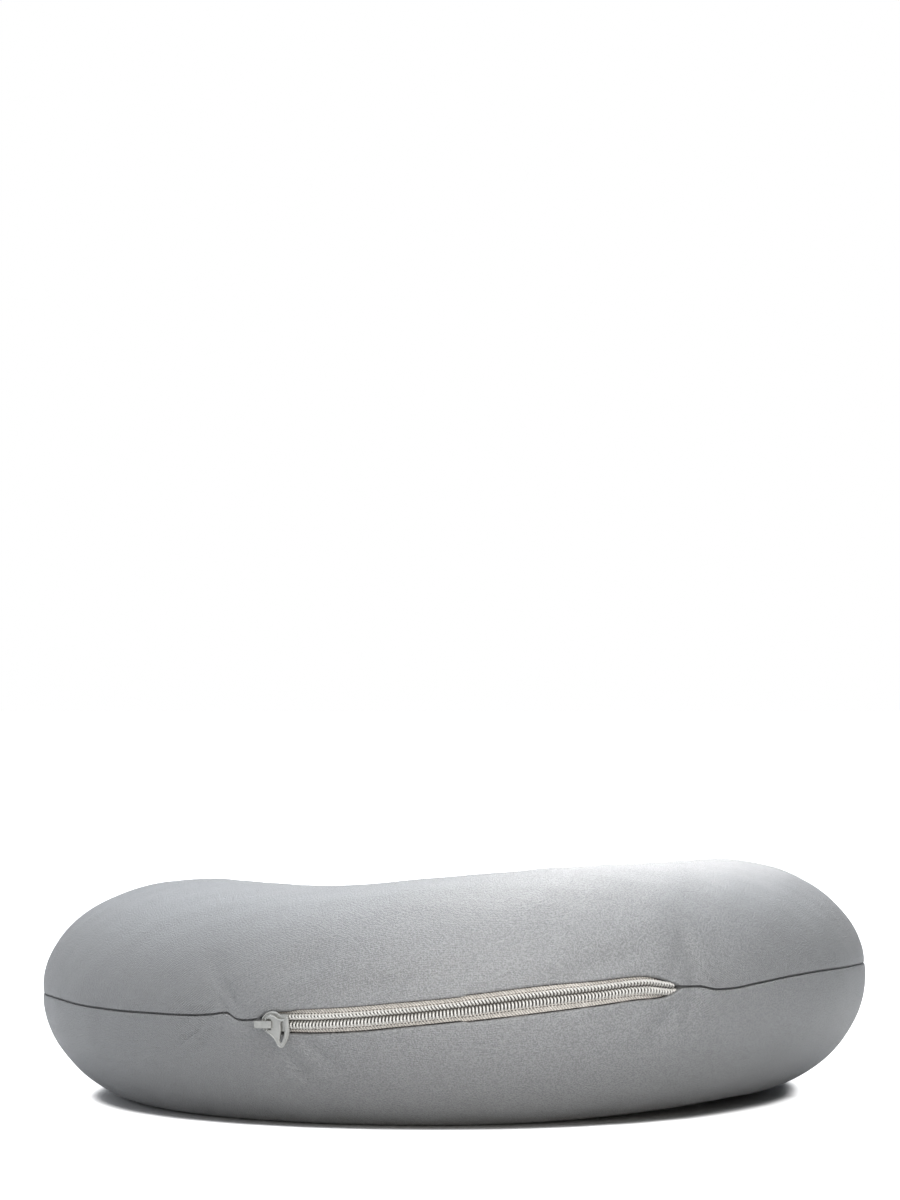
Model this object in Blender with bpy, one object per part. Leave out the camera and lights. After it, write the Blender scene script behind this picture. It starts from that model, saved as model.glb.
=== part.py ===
"""U-shaped travel neck pillow in a zipped stretch cover, lying flat on its underside.

Metres, +Z up. The neck opening faces +Y, and the zip is at the back, towards -Y. Stations are
measured along the middle of the filled tube, from the middle of the back, negative to the left
of someone who looks at the zip.
"""

import math
from collections import namedtuple

import bmesh
import bpy
from mathutils import Matrix, Vector

MM = 0.001

# Driving dimensions of the filled tube
PILLOW_WIDTH = 300 * MM
ELBOW_HALF_WIDTH = 54 * MM
BACK_RADIUS = PILLOW_WIDTH / 2 - ELBOW_HALF_WIDTH
QUARTER_TURN = BACK_RADIUS * math.pi / 2
ARM_RADIUS = 190 * MM
ARM_LENGTH = 145 * MM
TIP_LENGTH = 48 * MM
TUBE_END = QUARTER_TURN + ARM_LENGTH
TIP_START = TUBE_END - TIP_LENGTH
BACK_ARC_CENTRE_Y = 1.86 * MM
FLOOR_SOFTNESS = 1.4 * MM

# How the tube swells and sinks along its length. Heights are above the floor: crown is the top,
# widest is where the tube is widest, and belly is how low it would hang if no floor pressed it flat.
Section = namedtuple("Section", "station half_width crown widest belly")
SECTIONS = (
    Section(-301, 51, 71.0, 37.0, -4.0),
    Section(-215, 52, 73.5, 38.5, -5.0),
    Section(-150, 54, 78.1, 39.0, -4.6),
    Section(-100, 54, 81.0, 38.9, -3.6),
    Section(-50, 53, 80.4, 41.4, -3.8),
    Section(0, 52, 84.3, 42.6, -2.8),
    Section(60, 53, 87.5, 44.5, 0.8),
    Section(100, 54, 87.4, 45.4, 2.2),
    Section(150, 54, 86.2, 45.9, -0.7),
    Section(215, 53, 82.5, 43.5, -7.1),
    Section(301, 51, 78.0, 41.0, -4.0),
)

# Height of the seam round the outside, with the small kinks beside both ends of the zip
Seam = namedtuple("Seam", "station height")
OUTER_SEAM = (
    Seam(-301, 37.0),
    Seam(-215, 37.5),
    Seam(-139, 38.3),
    Seam(-120, 38.8),
    Seam(-100, 38.0),
    Seam(-84, 37.8),
    Seam(-72, 37.85),
    Seam(-61, 38.1),
    Seam(-56, 38.75),
    Seam(-52.3, 39.5),
    Seam(-49.4, 37.4),
    Seam(-47.3, 37.2),
    Seam(-45, 37.6),
    Seam(-42, 37.05),
    Seam(-34, 37.4),
    Seam(-28, 37.9),
    Seam(-12, 40.1),
    Seam(6, 43.4),
    Seam(18, 45.6),
    Seam(32, 47.6),
    Seam(43, 49.0),
    Seam(52.6, 48.4),
    Seam(57, 48.3),
    Seam(62, 46.85),
    Seam(65, 46.85),
    Seam(75, 48.3),
    Seam(88, 49.85),
    Seam(100, 50.4),
    Seam(120, 50.2),
    Seam(139, 49.4),
    Seam(215, 45.5),
    Seam(301, 41.0),
)

# How far the cover's two edges stand from the seam's line, above and below it, and how deep the
# slot between them is. They part only over the zip.
Lips = namedtuple("Lips", "station above below depth")
OUTER_LIPS = (
    Lips(-301, 0.15, 0.15, 1.2),
    Lips(-45.2, 0.15, 0.15, 1.2),
    Lips(-43.3, 2.1, 2.1, 2.4),
    Lips(-42, 3.3, 3.3, 2.4),
    Lips(-37, 3.8, 4.1, 2.4),
    Lips(-34, 4.4, 4.25, 2.4),
    Lips(-20, 4.7, 4.5, 2.4),
    Lips(-12, 4.9, 4.3, 2.4),
    Lips(0, 4.6, 4.5, 2.4),
    Lips(18, 4.6, 5.0, 2.4),
    Lips(32, 4.1, 4.8, 2.4),
    Lips(43, 3.8, 4.5, 2.4),
    Lips(47, 3.1, 4.0, 2.4),
    Lips(49.2, 2.4, 3.1, 2.4),
    Lips(51.2, 1.2, 1.6, 2.4),
    Lips(52.6, 0.15, 0.15, 1.2),
    Lips(301, 0.15, 0.15, 1.2),
)
PLAIN_LIP = 0.15 * MM
PLAIN_DEPTH = 1.2 * MM
LIP_ROLL = 1.2 * MM
LIP_DROP = 0.4 * MM
WIDEST_LIP_ANGLE = 1.0

# Zip, a number three coil chain on two woven tapes
ZIP_START = -43.6 * MM
ZIP_END = 50.0 * MM
CHAIN_START = -42 * MM
CHAIN_END = 48.6 * MM
CLEARANCE = 0.3 * MM
TAPE_TOP = 1.6 * MM
TAPE_THICKNESS = 0.5 * MM
COIL_TOP = 0.15 * MM
COIL_WIDTH = 1.95 * MM
COIL_PITCH = 1.15 * MM
COIL_GROOVE = 0.22 * MM
COIL_SHOULDER = 0.45 * MM

# Slider and pull, drawn in a frame that lies on the skin: along the chain, up, and outwards
SLIDER_STATION = -39.9 * MM
SLIDER_PLATE = 0.9 * MM
NOSE_CENTRE = -0.35 * MM
NOSE_RADIUS = 4.05 * MM
NOSE_SWEEP = (60, 300)
SLIDER_WAIST = 2.6 * MM
SLIDER_TAIL = 5.2 * MM
SLIDER_TAIL_HALF = 2.8 * MM
FLANGE_OUTER = 2.95 * MM
FLANGE_INNER = 2.45 * MM
FLANGE_LEFT = -1.5 * MM
FLANGE_RIGHT = 5.1 * MM
BRIDGE_LEFT = -6.4 * MM
BRIDGE_RIGHT = -0.1 * MM
BRIDGE_HALF_WIDTH = 1.27 * MM
BRIDGE_THICKNESS = 0.6 * MM
BRIDGE_ROOM = 1.55 * MM
BRIDGE_FEET = (-4.6 * MM, -1.65 * MM)
BRIDGE_FOOT = 0.8 * MM
PULL_THICKNESS = 0.9 * MM
EYE_LEFT = -2.0 * MM
EYE_RIGHT = -0.5 * MM
EYE_HALF = 1.7 * MM

# The pull's outline and its slot, in millimetres from the slider's middle
PULL_OUTLINE = (
    (-2.4, 1.5),
    (-1.6, 2.6),
    (-0.5, 3.1),
    (0.9, 2.7),
    (2.2, 1.8),
    (3.5, 1.6),
    (4.7, 1.9),
    (5.5, 2.4),
    (5.9, 1.8),
    (5.9, -2.3),
    (5.7, -3.8),
    (5.1, -5.2),
    (4.4, -6.6),
    (3.5, -7.8),
    (2.5, -8.25),
    (1.6, -7.8),
    (0.8, -6.5),
    (0.1, -5.1),
    (-1.1, -3.9),
    (-2.3, -2.7),
    (-2.6, -1.4),
)
PULL_SLOT = (
    (3.2, 0.2),
    (3.7, 0.7),
    (4.2, 0.2),
    (4.15, -2.2),
    (3.65, -4.4),
    (2.8, -6.1),
    (2.3, -5.9),
    (2.65, -4.2),
    (3.05, -2.2),
)
UNION_OVERLAP = 0.2 * MM

# Mesh steps. The stretches beside the zip's ends, where the slot opens and closes, have fine steps.
TUBE_STEP = 7 * MM
FINE_STEP = 2.5 * MM
FINE_STRETCHES = ((-56 * MM, -36 * MM), (42 * MM, 66 * MM))
PANEL_STEPS = 12
TIP_STEPS = 8
LAST_TIP_ANGLE = math.radians(88.4)
ZIP_STEP = 2.5 * MM


def through(rows, column, station):
    """The column's value in metres at a station, on a smooth curve through the rows without overshoot."""
    place = station / MM
    xs = [row.station for row in rows]
    ys = [getattr(row, column) for row in rows]
    if place <= xs[0]:
        return ys[0] * MM
    if place >= xs[-1]:
        return ys[-1] * MM
    rises = [(ys[i + 1] - ys[i]) / (xs[i + 1] - xs[i]) for i in range(len(xs) - 1)]

    def slope(i):
        if i in (0, len(rises)) or rises[i - 1] * rises[i] <= 0:
            return 0.0
        return 2 * rises[i - 1] * rises[i] / (rises[i - 1] + rises[i])

    i = next(k for k in range(len(rises)) if place <= xs[k + 1])
    span = xs[i + 1] - xs[i]
    t = (place - xs[i]) / span
    value = (
        (2 * t**3 - 3 * t**2 + 1) * ys[i]
        + (t**3 - 2 * t**2 + t) * span * slope(i)
        + (3 * t**2 - 2 * t**3) * ys[i + 1]
        + (t**3 - t**2) * span * slope(i + 1)
    )
    return value * MM


def centreline(station):
    """The plan point in the middle of the tube, and the plan direction that points out of the U there."""
    side = -1 if station < 0 else 1
    reach = abs(station)
    if reach <= QUARTER_TURN:
        bend = reach / BACK_RADIUS
        outward = Vector((side * math.sin(bend), -math.cos(bend), 0))
        middle = outward * BACK_RADIUS
    else:
        bend = (reach - QUARTER_TURN) / ARM_RADIUS
        outward = Vector((side * math.cos(bend), math.sin(bend), 0))
        middle = Vector((side * (BACK_RADIUS - ARM_RADIUS), 0, 0)) + outward * ARM_RADIUS
    return middle + Vector((0, BACK_ARC_CENTRE_Y, 0)), outward


def fullness(station):
    """1 along the tube, and down to 0 as it rounds off at an arm's tip."""
    past = max(0.0, abs(station) - TIP_START) / TIP_LENGTH
    return math.sqrt(max(0.0, 1 - past**2))


def on_floor(height):
    """The height after the floor has pressed the underside flat, with a soft edge round the flat."""
    if height >= FLOOR_SOFTNESS:
        return height
    if height <= -FLOOR_SOFTNESS:
        return 0.0
    return (height + FLOOR_SOFTNESS) ** 2 / (4 * FLOOR_SOFTNESS)


def half_axes(station, angle):
    """Half the tube's width, and its rise above or fall below the widest line on this side of it."""
    widest = through(SECTIONS, "widest", station)
    if math.sin(angle) > 0:
        rise = through(SECTIONS, "crown", station) - widest
    else:
        rise = widest - through(SECTIONS, "belly", station)
    return through(SECTIONS, "half_width", station), rise, widest


def skin(station, angle, depth=0.0):
    """A point on the cover, or under it. Angle 0 faces out of the U, a quarter turn is the crown."""
    middle, outward = centreline(station)
    half_width, rise, widest = half_axes(station, angle)
    full = fullness(station)
    across = half_width * full * math.cos(angle)
    height = on_floor(widest + rise * full * math.sin(angle))
    normal = Vector((math.cos(angle) / half_width, math.sin(angle) / rise)).normalized()
    across -= depth * normal.x
    height -= depth * normal.y
    return middle + outward * across + Vector((0, 0, height))


def seam_angle(station):
    """The angle of the outer seam's line."""
    height = through(OUTER_SEAM, "height", station)
    _, rise, widest = half_axes(station, height - through(SECTIONS, "widest", station))
    return math.asin((height - widest) / rise)


def angle_step(station, angle, distance):
    """The angle that spans a distance on the skin, held back where the tips are too small for it."""
    half_width, rise, _ = half_axes(station, angle)
    speed = math.hypot(half_width * math.sin(angle), rise * math.cos(angle)) * fullness(station)
    return max(-WIDEST_LIP_ANGLE, min(WIDEST_LIP_ANGLE, distance / max(speed, MM / 100)))


def beside_seam(station, distance, depth=0.0):
    """A point on the cover at a distance above the outer seam's line, or below it if negative."""
    angle = seam_angle(station)
    return skin(station, angle + angle_step(station, angle, distance), depth)


def tube_ring(station):
    """The section's points in order: slot's upper corner, upper panel, inner groove, lower panel."""
    outer = seam_angle(station)
    above = through(OUTER_LIPS, "above", station)
    below = through(OUTER_LIPS, "below", station)
    depth = min(through(OUTER_LIPS, "depth", station), PLAIN_DEPTH + above)

    def step(angle, distance):
        return angle_step(station, angle, distance)

    upper_start = outer + step(outer, above + LIP_ROLL)
    upper_end = math.pi - step(math.pi, PLAIN_LIP + LIP_ROLL)
    lower_start = math.pi + step(math.pi, PLAIN_LIP + LIP_ROLL)
    lower_end = 2 * math.pi + outer - step(outer, below + LIP_ROLL)
    ring = [(outer + step(outer, above), depth), (outer + step(outer, above), LIP_DROP)]
    for k in range(PANEL_STEPS + 1):
        ring.append((upper_start + (upper_end - upper_start) * k / PANEL_STEPS, 0.0))
    ring.append((math.pi, PLAIN_DEPTH))
    for k in range(PANEL_STEPS + 1):
        ring.append((lower_start + (lower_end - lower_start) * k / PANEL_STEPS, 0.0))
    ring.append((outer - step(outer, below), LIP_DROP))
    ring.append((outer - step(outer, below), depth))
    return [skin(station, angle, deep * min(1.0, 2 * fullness(station))) for angle, deep in ring]


def tube_stations():
    """Stations of the pillow's sections, close together beside the zip's ends and at the rounded tips."""
    coarse = round(2 * TIP_START / TUBE_STEP)
    stations = {-TIP_START + 2 * TIP_START * k / coarse for k in range(coarse + 1)}
    for low, high in FINE_STRETCHES:
        stations = {s for s in stations if not low - FINE_STEP < s < high + FINE_STEP}
        fine = round((high - low) / FINE_STEP)
        stations |= {low + (high - low) * k / fine for k in range(fine + 1)}
    for k in range(1, TIP_STEPS + 1):
        past = math.sin(LAST_TIP_ANGLE * k / TIP_STEPS) * TIP_LENGTH
        stations |= {TIP_START + past, -TIP_START - past}
    return sorted(stations)


def loft(name, rings, tips=None):
    """A closed solid through rings of points, ended by flat caps, or by a fan to each of two tip points."""
    mesh = bmesh.new()
    rows = [[mesh.verts.new(point) for point in ring] for ring in rings]
    for near, far in zip(rows, rows[1:]):
        for k in range(len(near)):
            after = (k + 1) % len(near)
            mesh.faces.new((near[k], near[after], far[after], far[k]))
    if tips:
        for row, tip in zip((rows[0], rows[-1]), tips):
            point = mesh.verts.new(tip)
            for k in range(len(row)):
                mesh.faces.new((row[k], row[(k + 1) % len(row)], point))
    else:
        mesh.faces.new(rows[0])
        mesh.faces.new(rows[-1])
    bmesh.ops.recalc_face_normals(mesh, faces=mesh.faces)
    data = bpy.data.meshes.new(name)
    mesh.to_mesh(data)
    mesh.free()
    return bpy.data.objects.new(name, data)


def stations_between(start, end, step):
    count = max(1, round((end - start) / step))
    return [start + (end - start) * k / count for k in range(count + 1)]


def filled_pillow():
    """The stuffed cover as one solid, with the seam's groove all round it and the slot for the zip."""
    tips = []
    for side in (-1, 1):
        middle, outward = centreline(side * TUBE_END)
        inwards = outward.cross(Vector((0, 0, side)))
        height = through(SECTIONS, "widest", side * TUBE_END)
        tips.append(middle + inwards * PLAIN_DEPTH + Vector((0, 0, height)))
    return loft("pillow", [tube_ring(station) for station in tube_stations()], tips)


def zip_tape(name, side):
    """One woven tape, from the chain's middle to just short of the cover's edge."""
    rings = []
    for station in stations_between(ZIP_START, ZIP_END, ZIP_STEP):
        gap = through(OUTER_LIPS, "above" if side > 0 else "below", station)
        inner, outer = side * CLEARANCE / 2, side * max(gap - CLEARANCE, 2 * CLEARANCE)
        low = TAPE_TOP + TAPE_THICKNESS
        rings.append(
            [
                beside_seam(station, inner, TAPE_TOP),
                beside_seam(station, outer, TAPE_TOP),
                beside_seam(station, outer, low),
                beside_seam(station, inner, low),
            ]
        )
    return loft(name, rings)


def zip_coil(name, side):
    """Half of the closed chain: a low bar that is ridged once for each turn of its coil."""
    skin_per_station = (BACK_RADIUS + through(SECTIONS, "half_width", 0)) / BACK_RADIUS
    turns = round((CHAIN_END - CHAIN_START) * skin_per_station / COIL_PITCH)
    bottom = TAPE_TOP - CLEARANCE
    rings = []
    for k in range(2 * turns + 1):
        station = CHAIN_START + (CHAIN_END - CHAIN_START) * k / (2 * turns)
        groove = COIL_GROOVE if k % 2 else 0.0
        inner = CLEARANCE / 2
        outer = inner + COIL_WIDTH - groove
        profile = (
            (inner, bottom),
            (inner, COIL_TOP + COIL_SHOULDER + groove),
            (inner + COIL_SHOULDER, COIL_TOP + groove),
            (outer - COIL_SHOULDER, COIL_TOP + groove),
            (outer, COIL_TOP + COIL_SHOULDER + groove),
            (outer, bottom),
        )
        rings.append([beside_seam(station, side * across, deep) for across, deep in profile])
    return loft(name, rings)


def slider_frame():
    """The slider's own axes on the skin: X along the chain, Y up across it, Z outwards."""
    here = beside_seam(SLIDER_STATION, 0)
    along = (beside_seam(SLIDER_STATION + MM, 0) - beside_seam(SLIDER_STATION - MM, 0)).normalized()
    outward = (here - beside_seam(SLIDER_STATION, 0, MM)).normalized()
    up = outward.cross(along).normalized()
    out = along.cross(up)
    frame = Matrix((along, up, out)).transposed().to_4x4()
    frame.translation = here
    return frame


def flat_plate(name, outline, low, high, holes=()):
    """A plate with a drawn outline and holes, between two heights of the slider's frame."""
    curve = bpy.data.curves.new(name, "CURVE")
    curve.dimensions = "2D"
    curve.fill_mode = "BOTH"
    curve.extrude = (high - low) / 2
    for points in (outline, *holes):
        spline = curve.splines.new("POLY")
        spline.points.add(len(points) - 1)
        for point, (x, y) in zip(spline.points, points):
            point.co = (x, y, 0, 1)
        spline.use_cyclic_u = True
    drawn = bpy.data.objects.new(name + "_outline", curve)
    bpy.context.scene.collection.objects.link(drawn)
    bpy.context.view_layer.update()
    data = bpy.data.meshes.new_from_object(drawn.evaluated_get(bpy.context.evaluated_depsgraph_get()))
    bpy.data.objects.remove(drawn)
    data.transform(Matrix.Translation((0, 0, (low + high) / 2)))
    mesh = bmesh.new()
    mesh.from_mesh(data)
    bmesh.ops.remove_doubles(mesh, verts=mesh.verts, dist=MM / 1000)
    bmesh.ops.recalc_face_normals(mesh, faces=mesh.faces)
    mesh.to_mesh(data)
    mesh.free()
    data.name = name
    return bpy.data.objects.new(name, data)


def arc(centre, radius, start, end, steps):
    """Points along an arc, with its start and end in degrees."""
    angles = [math.radians(start + (end - start) * k / steps) for k in range(steps + 1)]
    return [(centre[0] + radius * math.cos(a), centre[1] + radius * math.sin(a)) for a in angles]


def rectangle(left, right, half_width, middle=0.0):
    return [
        (left, middle - half_width),
        (right, middle - half_width),
        (right, middle + half_width),
        (left, middle + half_width),
    ]


def slider():
    """The slider's top plate with its flared nose, two side flanges, and the bridge that holds the pull."""
    outline = arc((NOSE_CENTRE, 0), NOSE_RADIUS, *NOSE_SWEEP, 12)
    tail = [(SLIDER_WAIST, -SLIDER_TAIL_HALF), (SLIDER_TAIL, -SLIDER_TAIL_HALF)]
    outline += tail + [(x, -y) for x, y in reversed(tail)]
    plate_low, plate_high = CLEARANCE, CLEARANCE + SLIDER_PLATE
    bridge_low = plate_high + BRIDGE_ROOM
    bridge_high = bridge_low + BRIDGE_THICKNESS
    flange_middle = (FLANGE_OUTER + FLANGE_INNER) / 2
    flange_half = (FLANGE_OUTER - FLANGE_INNER) / 2
    body = flat_plate("zip_slider", outline, plate_low, plate_high)
    pieces = [
        flat_plate(
            "flange",
            rectangle(FLANGE_LEFT, FLANGE_RIGHT, flange_half, side * flange_middle),
            CLEARANCE - TAPE_TOP,
            plate_low + UNION_OVERLAP,
        )
        for side in (-1, 1)
    ]
    bar = rectangle(BRIDGE_LEFT, BRIDGE_RIGHT, BRIDGE_HALF_WIDTH)
    pieces.append(flat_plate("bridge", bar, bridge_low, bridge_high))
    for left in BRIDGE_FEET:
        # The feet stop short of the bridge's sides, so that no faces of the union coincide.
        foot = rectangle(left, left + BRIDGE_FOOT, BRIDGE_HALF_WIDTH - UNION_OVERLAP / 2)
        pieces.append(flat_plate("foot", foot, plate_high - UNION_OVERLAP, bridge_low + UNION_OVERLAP))
    cutters.objects.link(body)
    for piece in pieces:
        cutters.objects.link(piece)
        piece.hide_render = True
        piece.display_type = "WIRE"
        piece.matrix_world = slider_frame()
        union = body.modifiers.new(piece.name, "BOOLEAN")
        union.operation = "UNION"
        union.object = piece
    cutters.objects.unlink(body)
    body.matrix_world = slider_frame()
    return body


def pull():
    """The stamped pull: a rounded triangle with an eye round the bridge and a long slot."""
    outline, slot = ([(x * MM, y * MM) for x, y in points] for points in (PULL_OUTLINE, PULL_SLOT))
    eye = rectangle(EYE_LEFT, EYE_RIGHT, EYE_HALF)
    low = 2 * CLEARANCE + SLIDER_PLATE
    tab = flat_plate("zip_pull", outline, low, low + PULL_THICKNESS, (eye, slot))
    tab.matrix_world = slider_frame()
    return tab


def material(name, colour, roughness, metallic=0.0):
    made = bpy.data.materials.new(name)
    made.use_nodes = True
    shader = made.node_tree.nodes["Principled BSDF"]
    shader.inputs["Base Color"].default_value = (*colour, 1)
    shader.inputs["Roughness"].default_value = roughness
    shader.inputs["Metallic"].default_value = metallic
    made.diffuse_color = (*colour, 1)
    return made


def build():
    cover = material("cover", (0.36, 0.37, 0.39), 0.55)
    tape = material("tape", (0.62, 0.57, 0.53), 0.8)
    coil = material("coil", (0.72, 0.70, 0.67), 0.35)
    metal = material("slider_metal", (0.55, 0.55, 0.53), 0.35, 0.4)
    made = [
        (filled_pillow(), cover),
        (zip_tape("zip_tape_upper", 1), tape),
        (zip_tape("zip_tape_lower", -1), tape),
        (zip_coil("zip_coil_upper", 1), coil),
        (zip_coil("zip_coil_lower", -1), coil),
        (slider(), metal),
        (pull(), metal),
    ]
    for obj, finish in made:
        obj.data.materials.clear()
        obj.data.materials.append(finish)
        parts.objects.link(obj)
    made[0][0].data.shade_smooth()


for old in list(bpy.data.objects):
    bpy.data.objects.remove(old)
parts = bpy.data.collections.new("travel_pillow")
cutters = bpy.data.collections.new("cutters")
cutters.hide_render = True
bpy.context.scene.collection.children.link(parts)
bpy.context.scene.collection.children.link(cutters)
build()
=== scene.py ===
import math
from collections import namedtuple

import bmesh
import bpy
import numpy as np
from mathutils import Matrix, Vector


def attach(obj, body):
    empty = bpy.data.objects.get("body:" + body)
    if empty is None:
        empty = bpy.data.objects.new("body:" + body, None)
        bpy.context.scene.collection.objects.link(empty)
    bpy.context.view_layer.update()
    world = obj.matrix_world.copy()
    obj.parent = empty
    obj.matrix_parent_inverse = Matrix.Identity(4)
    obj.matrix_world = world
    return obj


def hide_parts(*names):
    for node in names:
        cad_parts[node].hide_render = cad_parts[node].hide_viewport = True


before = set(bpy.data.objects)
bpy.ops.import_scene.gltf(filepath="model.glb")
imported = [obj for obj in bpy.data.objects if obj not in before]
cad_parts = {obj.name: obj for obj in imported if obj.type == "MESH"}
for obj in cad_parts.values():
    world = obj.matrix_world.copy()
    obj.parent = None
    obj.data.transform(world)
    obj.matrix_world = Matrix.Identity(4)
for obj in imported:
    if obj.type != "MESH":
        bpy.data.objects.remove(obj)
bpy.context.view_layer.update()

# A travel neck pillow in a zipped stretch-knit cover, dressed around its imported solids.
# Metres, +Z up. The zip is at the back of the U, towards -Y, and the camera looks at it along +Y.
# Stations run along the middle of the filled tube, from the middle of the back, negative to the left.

MM = 0.001

# The photograph's view, worked out from the pillow's outline
PHOTO_WIDTH, PHOTO_HEIGHT = 900, 1200
SENSOR = 36.0
FOCAL_PIXELS = 4372
CAMERA_ELEVATION = math.radians(4)
CAMERA_DISTANCE = 1.6
AIM_HEIGHT = 43 * MM
AIM_PIXEL = (454.2, 976.8)

# Driving dimensions of the filled tube, the same as the solid's
PILLOW_WIDTH = 300 * MM
ELBOW_HALF_WIDTH = 54 * MM
BACK_RADIUS = PILLOW_WIDTH / 2 - ELBOW_HALF_WIDTH
QUARTER_TURN = BACK_RADIUS * math.pi / 2
ARM_RADIUS = 190 * MM
ARM_LENGTH = 145 * MM
TIP_LENGTH = 48 * MM
TUBE_END = QUARTER_TURN + ARM_LENGTH
TIP_START = TUBE_END - TIP_LENGTH
BACK_ARC_CENTRE_Y = 1.86 * MM
FLOOR_SOFTNESS = 1.4 * MM
OUTER_RADIUS = BACK_RADIUS + 52 * MM

Section = namedtuple("Section", "station half_width crown widest belly")
SECTIONS = (
    Section(-301, 51, 71.0, 37.0, -4.0),
    Section(-215, 52, 73.5, 38.5, -5.0),
    Section(-150, 54, 78.1, 39.0, -4.6),
    Section(-100, 54, 81.0, 38.9, -3.6),
    Section(-50, 53, 80.4, 41.4, -3.8),
    Section(0, 52, 84.3, 42.6, -2.8),
    Section(60, 53, 87.5, 44.5, 0.8),
    Section(100, 54, 87.4, 45.4, 2.2),
    Section(150, 54, 86.2, 45.9, -0.7),
    Section(215, 53, 82.5, 43.5, -7.1),
    Section(301, 51, 78.0, 41.0, -4.0),
)

Seam = namedtuple("Seam", "station height")
OUTER_SEAM = (
    Seam(-301, 37.0),
    Seam(-215, 37.5),
    Seam(-139, 38.3),
    Seam(-120, 38.8),
    Seam(-100, 38.0),
    Seam(-84, 37.8),
    Seam(-72, 37.85),
    Seam(-61, 38.1),
    Seam(-56, 38.75),
    Seam(-52.3, 39.5),
    Seam(-49.4, 37.4),
    Seam(-47.3, 37.2),
    Seam(-45, 37.6),
    Seam(-42, 37.05),
    Seam(-34, 37.4),
    Seam(-28, 37.9),
    Seam(-12, 40.1),
    Seam(6, 43.4),
    Seam(18, 45.6),
    Seam(32, 47.6),
    Seam(43, 49.0),
    Seam(52.6, 48.4),
    Seam(57, 48.3),
    Seam(62, 46.85),
    Seam(65, 46.85),
    Seam(75, 48.3),
    Seam(88, 49.85),
    Seam(100, 50.4),
    Seam(120, 50.2),
    Seam(139, 49.4),
    Seam(215, 45.5),
    Seam(301, 41.0),
)

# How far the cover's edges stand from the seam's line and how deep the slot between them is
Lips = namedtuple("Lips", "station above below depth")
OUTER_LIPS = (
    Lips(-301, 0.15, 0.15, 1.2),
    Lips(-45.2, 0.15, 0.15, 1.2),
    Lips(-43.3, 2.1, 2.1, 2.4),
    Lips(-42, 3.3, 3.3, 2.4),
    Lips(-37, 3.8, 4.1, 2.4),
    Lips(-34, 4.4, 4.25, 2.4),
    Lips(-20, 4.7, 4.5, 2.4),
    Lips(-12, 4.9, 4.3, 2.4),
    Lips(0, 4.6, 4.5, 2.4),
    Lips(18, 4.6, 5.0, 2.4),
    Lips(32, 4.1, 4.8, 2.4),
    Lips(43, 3.8, 4.5, 2.4),
    Lips(47, 3.1, 4.0, 2.4),
    Lips(49.2, 2.4, 3.1, 2.4),
    Lips(51.2, 1.2, 1.6, 2.4),
    Lips(52.6, 0.15, 0.15, 1.2),
    Lips(301, 0.15, 0.15, 1.2),
)
PLAIN_LIP = 0.15 * MM
PLAIN_DEPTH = 1.2 * MM
WIDEST_LIP_ANGLE = 1.0

# The rounded edges of the cover: tight where two panels are sewn together, rounder along the zip
TIGHT_ROLL = 0.35 * MM
ZIP_ROLL = 0.75 * MM
OPEN_LIP = 2 * MM
PULL_IN = 0.45 * MM
PULL_IN_REACH = 2.6 * MM

# Mesh steps of the cover
ZIP_STRETCH = 62 * MM
FINE_STEP = 1.0 * MM
TUBE_STEP = 1.9 * MM
TIP_STEPS = 22
LAST_TIP_ANGLE = math.radians(88.4)
PANEL_STEPS = 96
PANEL_CROWDING = 0.75
ROLL_STEPS = 4
SLOT_STEPS = 3

# Soft troughs in the tight cover, and one low swell (negative depth). Along is the distance on the
# outer skin from the middle of the back, up is the distance above the seam's line, and lean is the
# trough's direction in degrees, 0 to the right and 90 up.
Fold = namedtuple("Fold", "along up lean length width depth")
FOLDS = (
    Fold(-82, 3.0, 125, 4.0, 1.1, 0.70),
    Fold(-69, -2.4, 205, 3.5, 1.2, 1.40),
    Fold(-78, 6.0, 140, 6.0, 2.2, 0.75),
    Fold(-86, 14.0, 118, 11.0, 4.0, 0.80),
    Fold(-74, -7.0, 245, 6.0, 2.4, 0.70),
    Fold(-56, -17.0, 300, 10.0, 3.0, 1.30),
    Fold(-64, -13.0, 285, 8.0, 2.6, 0.90),
    Fold(-47, -12.0, 315, 7.0, 2.4, 0.80),
    Fold(-28, 9.5, 8, 15.0, 4.5, 1.10),
    Fold(-52, 21.0, 35, 12.0, 5.0, 0.90),
    Fold(2, 13.0, 20, 14.0, 5.0, 0.70),
    Fold(53, 9.0, 10, 16.0, 4.0, 1.00),
    Fold(86, 10.0, 92, 13.0, 4.5, 1.50),
    Fold(79, 7.0, 60, 8.0, 2.4, 0.80),
    Fold(74, -13.0, 235, 10.0, 3.2, 1.00),
    Fold(84, -9.0, 265, 8.0, 2.8, 0.80),
    Fold(26, 33.0, 10, 14.0, 9.0, -0.70),
    Fold(100, 26.0, 75, 18.0, 9.0, 0.70),
)
UNEVENNESS = 0.22 * MM
UNEVEN_PITCH = 42 * MM

# The cover's knit. Its ribs lie along X in the flat pattern. Scales are in cells a metre.
RIB_PITCH = 0.8 * MM
RIB_SHARE = 0.6
RIB_WOBBLE = 0.5 * MM
WOBBLE_SCALE = 90
LOOP_PITCH = 0.55 * MM
LOOP_SHARE = 0.25
LOOP_SLANT = 0.5
FIBRE_SCALE = 2600
MOTTLE_SCALE = 1800
CLOUD_SCALE = 22
TWILL_PITCH = 0.72 * MM
TWILL_ALONG = 0.53
TWILL_UP = 0.85
TUCK_PITCH = 0.84 * MM
# The near-black seam line: its thread, darkened with painted shade in the seam's crevice
THREAD_SHADE_HALF = 0.24 * MM
THREAD_SHADE_EDGE = 0.07 * MM
THREAD_TWIST = 1.5 * MM

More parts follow.
